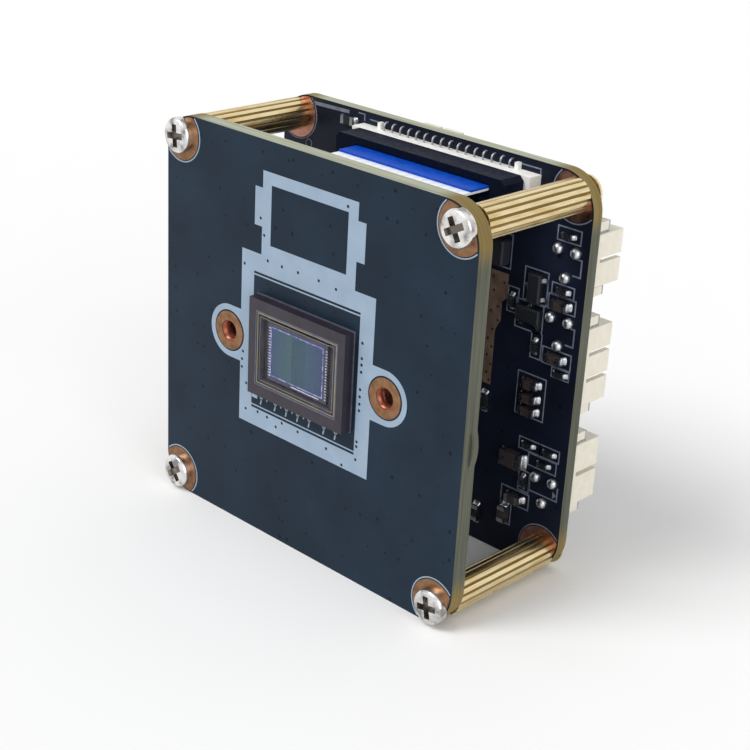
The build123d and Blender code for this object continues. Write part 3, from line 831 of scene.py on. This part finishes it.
def solder_ramps(caps, bodies, face_y, toward=FRONT):
    """Solder drawn up against every chip end of a node.

    A ramp starts at the cap's outer face, away from the nearest chip body. Its profile falls as
    height * (1 - s)^2 over the reach, s from 0 to 1, and is carried across the cap's width,
    where it narrows towards both sides by the cube of the distance from the middle.
    """
    height_share, reach, foot, narrowing = 0.75, 0.34, 0.03, 0.3
    middles = np.array([box for body in bodies for box in solids_of(body)]).mean(1)
    s = np.linspace(0, 1, 6)
    t = np.linspace(-0.5, 0.5, 5)
    bulge = 1 - narrowing * (2 * np.abs(t)) ** 3
    groups = []
    for low, high in solids_of(caps):
        middle, size = (low + high) / 2, high - low
        gaps = middles - middle
        away = -gaps[np.argmin((gaps**2).sum(1))][[0, 2]]
        # A step of 1 along X or Z, whichever leads away the most
        out = np.round(away / np.abs(away).max() * 0.99)
        across = np.array([-out[1], out[0]])
        thick, width = np.abs(out) @ size[[0, 2]], np.abs(across) @ size[[0, 2]]
        foot_line = middle[[0, 2]] + out * thick / 2
        along = np.outer(bulge, s) * reach
        rise = np.outer(bulge, (1 - s) ** 2) * height_share * size[1]
        xz = foot_line + along[..., None] * out + (t[:, None, None] * width) * across
        top = np.stack([xz[..., 0], face_y + toward * (rise + foot), xz[..., 1]], -1)
        floor = top.copy()
        floor[..., 1] = face_y
        groups.append(np.concatenate([top, floor[:, ::-1]], 1).reshape(-1, 3))
    size = 2 * len(s)
    faces = grid_faces(len(t), size, False, True)
    last = (len(t) - 1) * size
    ends = [list(range(size)), list(range(last, last + size))]
    return repeated(np.array(groups), faces, ends)


for name, caps, bodies, face_y, toward in (
    ("main_chip_solder", "chip_end_caps", ("chip_resistors", "chip_capacitors"), MAIN_FACE, FRONT),
    ("sensor_chip_solder", "sensor_board_end_caps", ("sensor_board_capacitors",), SENSOR_BACK, BACK),
):
    new_piece(name, [solder_ramps(caps, bodies, face_y, toward)], solder, smooth=True)

# Print on the sensor board: a wide white field with two windows and an ear round each lens hole

FIELD_LEFT, FIELD_RIGHT, FIELD_LOW, FIELD_TOP = -8.45, 8.35, -8.35, 8.5
NECK_LEFT, NECK_RIGHT, NECK_TOP = -5.9, 5.85, 16.25
TAB_LEFT, TAB_RIGHT, TAB_LOW, TAB_TOP = -6.87, 6.8, 11.1, 14.65
EAR_R, EAR_GAP_R = 2.55, 2.0
WINDOW_LEFT, WINDOW_LOW, WINDOW_RIGHT, WINDOW_TOP = -6.8, -6.58, 6.65, 6.76
UPPER_WINDOW = (-4.78, 9.6, 4.72, 15.12)

field_outline = (
    [(FIELD_LEFT, FIELD_LOW), (FIELD_RIGHT, FIELD_LOW), (FIELD_RIGHT, -EAR_R)]
    + arc(LENS_AT, 0, EAR_R, -90, 90)
    + [(FIELD_RIGHT, EAR_R), (FIELD_RIGHT, FIELD_TOP), (NECK_RIGHT, FIELD_TOP), (NECK_RIGHT, TAB_LOW)]
    + [(TAB_RIGHT, TAB_LOW), (TAB_RIGHT, TAB_TOP), (NECK_RIGHT, TAB_TOP), (NECK_RIGHT, NECK_TOP)]
    + [(NECK_LEFT, NECK_TOP), (NECK_LEFT, TAB_TOP), (TAB_LEFT, TAB_TOP), (TAB_LEFT, TAB_LOW)]
    + [(NECK_LEFT, TAB_LOW), (NECK_LEFT, FIELD_TOP), (FIELD_LEFT, FIELD_TOP), (FIELD_LEFT, EAR_R)]
    + arc(-LENS_AT, 0, EAR_R, 90, 270)
    + [(FIELD_LEFT, -EAR_R)]
)

# Holes that show as dark dots in the white field, listed one by one
FIELD_VIA_R = 0.15
field_vias = [
    (-5.05, 8.14), (-3.2, 8.1), (-1.14, 8.14), (1.47, 8.14), (3.6, 7.97), (-8.1, 7.08),
    (7.04, 4.1), (7.06, 2.7), (7.06, 2.1), (7.06, 1.44), (7.04, -0.2), (7.04, -0.87),
    (7.04, -1.56), (7.04, -2.18), (-8.1, -1.48), (-8.2, -2.27), (-8.2, -3.05), (-7.56, -4.5),
    (6.94, -5.2), (6.94, -5.66), (-7.56, -7.07), (-5.9, -6.85), (-4.6, -6.95), (-2.6, -6.85),
    (-0.48, -6.95), (-3.4, -7.5), (3.23, -7.24), (6.9, -6.95), (5.24, -8.1), (4.58, 15.58),
    (-6.1, 11.84), (-5.6, 10.37),
]
field_loops = [
    field_outline,
    frame_of(WINDOW_LEFT, WINDOW_LOW, WINDOW_RIGHT, WINDOW_TOP),
    frame_of(*UPPER_WINDOW),
]
field_loops += [circle(side * LENS_AT, 0, EAR_GAP_R) for side in (-1, 1)]
field_loops += [circle(x, z, FIELD_VIA_R, 12) for x, z in field_vias]

# Two lines just inside the window, and small forked ticks below the package
WINDOW_LINE, TICK_LINE, BAR_LINE = 0.13, 0.16, 0.35
TICK_DOT_R = 0.1
window_lines = [[(WINDOW_LEFT, z), (WINDOW_RIGHT, z)] for z in (6.47, -6.28)]
tick_at = [-5.55, -3.65, -2.15, -0.65, 0.85, 2.75, 4.2]
tick_paths = [[(x, -6.0), (x + 0.12, -5.45)] for x in tick_at]
tick_paths += [[(x + 0.1, -5.5), (x + 0.1 + lean, -5.15)] for x in tick_at for lean in (-0.22, 0.2)]
tick_dots = [(x + 0.85, -5.35) for x in tick_at[:4]]
first_pin_bar = [(-6.75, -5.4), (-6.0, -5.4)]
new_piece(
    "sensor_board_print",
    [
        flat_shape(field_loops, SENSOR_FACE, INK),
        strokes(window_lines, WINDOW_LINE, INK, SENSOR_FACE, closed=False),
        strokes(tick_paths, TICK_LINE, INK, SENSOR_FACE, closed=False),
        dots(tick_dots, TICK_DOT_R, INK, SENSOR_FACE),
        strokes([first_pin_bar], BAR_LINE, INK, SENSOR_FACE, closed=False),
    ],
    white_ink,
)


def screw_rings():
    """The ink ring round each screw pad, left open where it would run off the rounded corner."""
    ring_r, half_turn = 2.5, 92
    paths = []
    for x in (-SCREW_AT, SCREW_AT):
        for z in (-SCREW_AT, SCREW_AT):
            turn = math.degrees(math.atan2(-z, -x))
            paths.append(arc(x, z, ring_r, turn - half_turn, turn + half_turn, 40))
    return paths


for name, face_y, ink in (
    ("sensor_board_screw_rings", SENSOR_FACE, white_ink),
    ("main_board_screw_rings", MAIN_FACE, white_ink_painted_grey),
):
    new_piece(name, [strokes(screw_rings(), INK_LINE, INK, face_y, closed=False)], ink)

# Copper plating in the two lens-holder holes, through the whole board
BARREL_OUTER, BARREL_INNER = 1.0, 0.93
barrel = [
    (BARREL_OUTER, 0.0), (BARREL_OUTER, -SENSOR_BACK), (BARREL_INNER, -SENSOR_BACK), (BARREL_INNER, 0.0)
]
new_piece(
    "lens_hole_barrels",
    [turned(barrel, [(-LENS_AT, 0), (LENS_AT, 0)], SENSOR_FACE, FRONT, 40, hollow=True)],
    barrel_copper,
    smooth=True,
)

# Image sensor: filter edge, pads and bond wires on the die, seal and painted sheen at the glass, and a
# painted highlight at the package's foot

DIE_LINE = 0.1
new_piece(
    "sensor_filter_frame",
    [strokes([frame_of(*ACTIVE)], DIE_LINE, FILM, DIE_FACE)],
    violet_line,
)

pad_z = np.arange(-2.3, 2.4, 0.27)
left_pads = [[(die_low[0] + 0.02, z), (die_low[0] + 0.34, z)] for z in pad_z]
right_pads = [[(die_high[0] - 0.24, z), (die_high[0] - 0.06, z)] for z in pad_z]
bottom_pads = [(-1.0, -2.5), (2.6, -2.5)]
new_piece(
    "sensor_bond_pads",
    [
        strokes([bottom_pads], DIE_LINE, FILM, DIE_FACE, closed=False),
        strokes(left_pads + right_pads, DIE_LINE, FILM, DIE_FACE, closed=False),
    ],
    bond_pad,
)


def bond_wires():
    """Wires from the die's edge to the cavity's side.

    Each falls evenly from the pad to the cavity's step, plus a low half-sine hump between them.
    """
    wire_r, pad_inset, step_x = 0.018, 0.14, 4.72
    lift, fall, hump = 0.02, 0.24, 0.06
    s = np.linspace(0, 1, 7)
    y = DIE_FACE - lift + fall * s - hump * np.sin(math.pi * s)
    rows = []
    for inner, outer in ((die_low[0] + pad_inset, -step_x), (die_high[0] - pad_inset, step_x)):
        x = inner + (outer - inner) * s
        rows += [np.stack([x, y, np.full_like(s, z)], -1) for z in pad_z]
    return tubes(rows, wire_r, 5)


new_piece("sensor_bond_wires", [bond_wires()], wire_bond, smooth=True)

# Beads of sealing resin, width and rise: round the glass; and just outside the package's foot, a pale
# line that is a painted highlight along its edge
GLASS_BEAD = (0.16, 0.08)
FOOT_HIGHLIGHT = (0.12, 0.12)
FOOT_HIGHLIGHT_OUT = 0.02
new_piece(
    "sensor_seal_and_foot_highlight",
    [
        strokes([rim_of(glass_low, glass_high)], *GLASS_BEAD, GLASS_FACE),
        strokes([rim_of(package_low, package_high, FOOT_HIGHLIGHT_OUT)], *FOOT_HIGHLIGHT, SENSOR_FACE),
    ],
    pale_seal_and_highlight,
)

# Lines of painted sheen: how far in from the glass's edge each one runs, and its width
SHEEN_LINES = ((0.2, 0.12), (0.5, 0.05))
new_piece(
    "sensor_coating_sheen",
    [
        strokes([rim_of(glass_low, glass_high, -inset)], width, FILM, GLASS_FACE)
        for inset, width in SHEEN_LINES
    ],
    coating_sheen,
)

# Print on the main board's front: part outlines (left, bottom, right, top), brackets and marks

outlines = [
    (15.5, 12.75, 18.0, 14.0), (8.9, 8.65, 10.7, 11.8), (15.45, 7.8, 17.85, 8.85),
    (10.7, 4.8, 11.9, 7.15), (13.75, 1.3, 14.9, 3.65), (15.2, 6.4, 18.15, 7.75),
    (15.1, 1.25, 18.25, 2.75), (12.65, -4.45, 15.85, -0.35), (13.5, -7.75, 15.9, -6.6),
    (15.9, -7.75, 18.1, -6.6), (14.7, -9.05, 17.9, -7.85), (13.8, -11.9, 15.05, -9.85),
    (11.95, -13.65, 15.2, -12.1), (12.0, -15.95, 13.25, -13.65), (11.75, 3.65, 14.8, 6.3),
    (12.4, 6.4, 15.0, 9.45), (16.3, 0.25, 18.2, 1.15),
]
brackets = [
    [(17.45, 9.95), (18.3, 9.95), (18.3, 11.5), (17.45, 11.5)],
    [(17.45, 3.55), (18.3, 3.55), (18.3, 5.2), (17.45, 5.2)],
    [(15.1, -10.15), (15.1, -11.5), (18.3, -11.5), (18.3, -10.15)],
]
socket_marks = [
    [(-7.4, 18.33), (-5.95, 18.33)],
    [(10.95, 18.33), (13.05, 18.33), (13.05, 17.8)],
    [(-8.9, 18.68), (-8.07, 18.68), (-8.07, 18.05)],
]
corner_bar = [(-15.1, 18.4), (-10.1, 18.5)]
small_ring = circle(-15.45, 14.3, 0.4, 20)
first_pin_arrow = [(17.8, -11.35), (18.2, -11.0), (17.8, -10.65)]
BRACKET_LINE, CORNER_BAR_LINE, SMALL_RING_LINE = 0.14, 0.34, 0.11
new_piece(
    "main_board_print",
    [
        strokes([frame_of(*outline) for outline in outlines], INK_LINE, INK, MAIN_FACE),
        strokes(brackets, BRACKET_LINE, INK, MAIN_FACE, closed=False),
        *[strokes([path], INK_LINE, INK, MAIN_FACE, closed=False) for path in socket_marks],
        strokes([corner_bar], CORNER_BAR_LINE, INK, MAIN_FACE, closed=False),
        strokes([small_ring], SMALL_RING_LINE, INK, MAIN_FACE),
        flat_shape([first_pin_arrow], MAIN_FACE, INK),
    ],
    white_ink_painted_grey,
)

# Small holes in the bare strip, as (x, z) distances from its upper left corner
strip_holes = [
    (0.3, 0.6), (1.6, 0.9), (0.5, 1.9), (1.1, 3.3), (0.35, 3.9), (1.2, 4.6), (0.7, 5.6),
    (0.25, 6.6), (0.75, 7.3), (0.3, 8.2), (0.8, 9.0), (0.4, 9.9), (0.75, 10.6),
]
strip_spots = [(strip_low[0] + x, strip_high[2] - z) for x, z in strip_holes]
STRIP_HOLE_R = 0.13
new_piece(
    "copper_strip_vias", [dots(strip_spots, STRIP_HOLE_R, FILM, strip_low[1])], epoxy
)

# Print on the main board's back: frames round the large parts, and a first-pin dot and dimple
BACK_LINE, BACK_FRAME_OUT = 0.15, 0.5
FIRST_PIN_DOT_R, FIRST_PIN_DIMPLE_R = 0.28, 0.45
back_outlines = [
    rim_of(*box_mm(node), BACK_FRAME_OUT) for node in ("processor", "flash_memory", "crystal")
]
first_pin_dot = (processor_low[0] - 1.1, processor_high[2] + 0.2)
first_pin_dimple = (processor_low[0] + 1.3, processor_high[2] - 1.3)
new_piece(
    "main_board_back_print",
    [
        strokes(back_outlines, BACK_LINE, INK, MAIN_BACK, BACK),
        dots([first_pin_dot], FIRST_PIN_DOT_R, INK, MAIN_BACK, BACK, 20),
    ],
    white_ink_painted_grey,
)
new_piece(
    "processor_first_pin_mark",
    [dots([first_pin_dimple], FIRST_PIN_DIMPLE_R, FILM, processor_high[1], BACK, 28)],
    ferrite,
)

# Stage: a wide pale matt floor that keeps the object's soft shadow

FLOOR_HALF = 1500.0
floor_paint = bpy.data.materials.new("pale_matt_paint")
floor_paint.use_nodes = True
floor_paint.node_tree.nodes.clear()
matt = add_node(
    floor_paint.node_tree,
    "ShaderNodeBsdfPrincipled",
    {"Base Color": (0.93, 0.93, 0.93, 1.0), "Roughness": 0.9},
)
add_node(floor_paint.node_tree, "ShaderNodeOutputMaterial", {"Surface": matt})
floor_points = [
    (x * MM, y * MM, main_low[2] * MM)
    for x, y in frame_of(-FLOOR_HALF, -FLOOR_HALF, FLOOR_HALF, FLOOR_HALF)
]
floor_mesh = bpy.data.meshes.new("floor")
floor_mesh.from_pydata(floor_points, [], [(0, 1, 2, 3)])
floor_mesh.materials.append(floor_paint)
floor = bpy.data.objects.new("floor", floor_mesh)
bpy.context.scene.collection.objects.link(floor)

# Light: two soft lamps, and a world that is plain white to the camera and in reflections


def sun(name, toward, strength, spread):
    """A soft distant lamp whose light comes from the given direction."""
    lamp = bpy.data.lights.new(name, "SUN")
    lamp.energy = strength
    lamp.angle = math.radians(spread)
    made = bpy.data.objects.new(name, lamp)
    made.rotation_mode = "QUATERNION"
    made.rotation_quaternion = Vector(toward).normalized().to_track_quat("Z", "Y")
    bpy.context.scene.collection.objects.link(made)


sun("key", (-0.35, -0.8, 1.0), 1.7, 30)
sun("side", (1.0, -0.35, 0.35), 1.1, 50)

WORLD_LIGHT, WORLD_SEEN = 0.55, 1.0
world = bpy.data.worlds.new("studio")
bpy.context.scene.world = world
world.use_nodes = True
sky = world.node_tree
sky.nodes.clear()
ray = add_node(sky, "ShaderNodeLightPath")
seen = ray.outputs["Is Camera Ray"]
for kind in ("Is Glossy Ray", "Is Transmission Ray"):
    seen = add_node(sky, "ShaderNodeMath", {0: seen, 1: ray.outputs[kind]}, operation="MAXIMUM")
level = add_node(
    sky, "ShaderNodeMapRange", {"Value": seen, "To Min": WORLD_LIGHT, "To Max": WORLD_SEEN}
)
glow = add_node(sky, "ShaderNodeBackground", {"Color": (1.0, 1.0, 1.0, 1.0), "Strength": level})
add_node(sky, "ShaderNodeOutputWorld", {"Surface": glow})

# Camera: place in millimetres, and its own forward and up directions

CAMERA_AT = Vector((93.646, -90.976, 54.680)) * MM
CAMERA_FORWARD = Vector((-0.62806, 0.67253, -0.39146))
CAMERA_UP = Vector((-0.30736, 0.24776, 0.91877))
camera_data = bpy.data.cameras.new("camera")
camera_data.sensor_width = 36.0
camera_data.lens = 76.575
camera_data.clip_start = 0.001
camera_data.clip_end = 10.0
camera = bpy.data.objects.new("camera", camera_data)
back = -CAMERA_FORWARD.normalized()
right = CAMERA_UP.cross(back).normalized()
up = back.cross(right)
camera.matrix_world = Matrix.Translation(CAMERA_AT) @ Matrix((right, up, back)).transposed().to_4x4()
bpy.context.scene.collection.objects.link(camera)
bpy.context.scene.camera = camera
bpy.context.scene.view_settings.view_transform = "Standard"
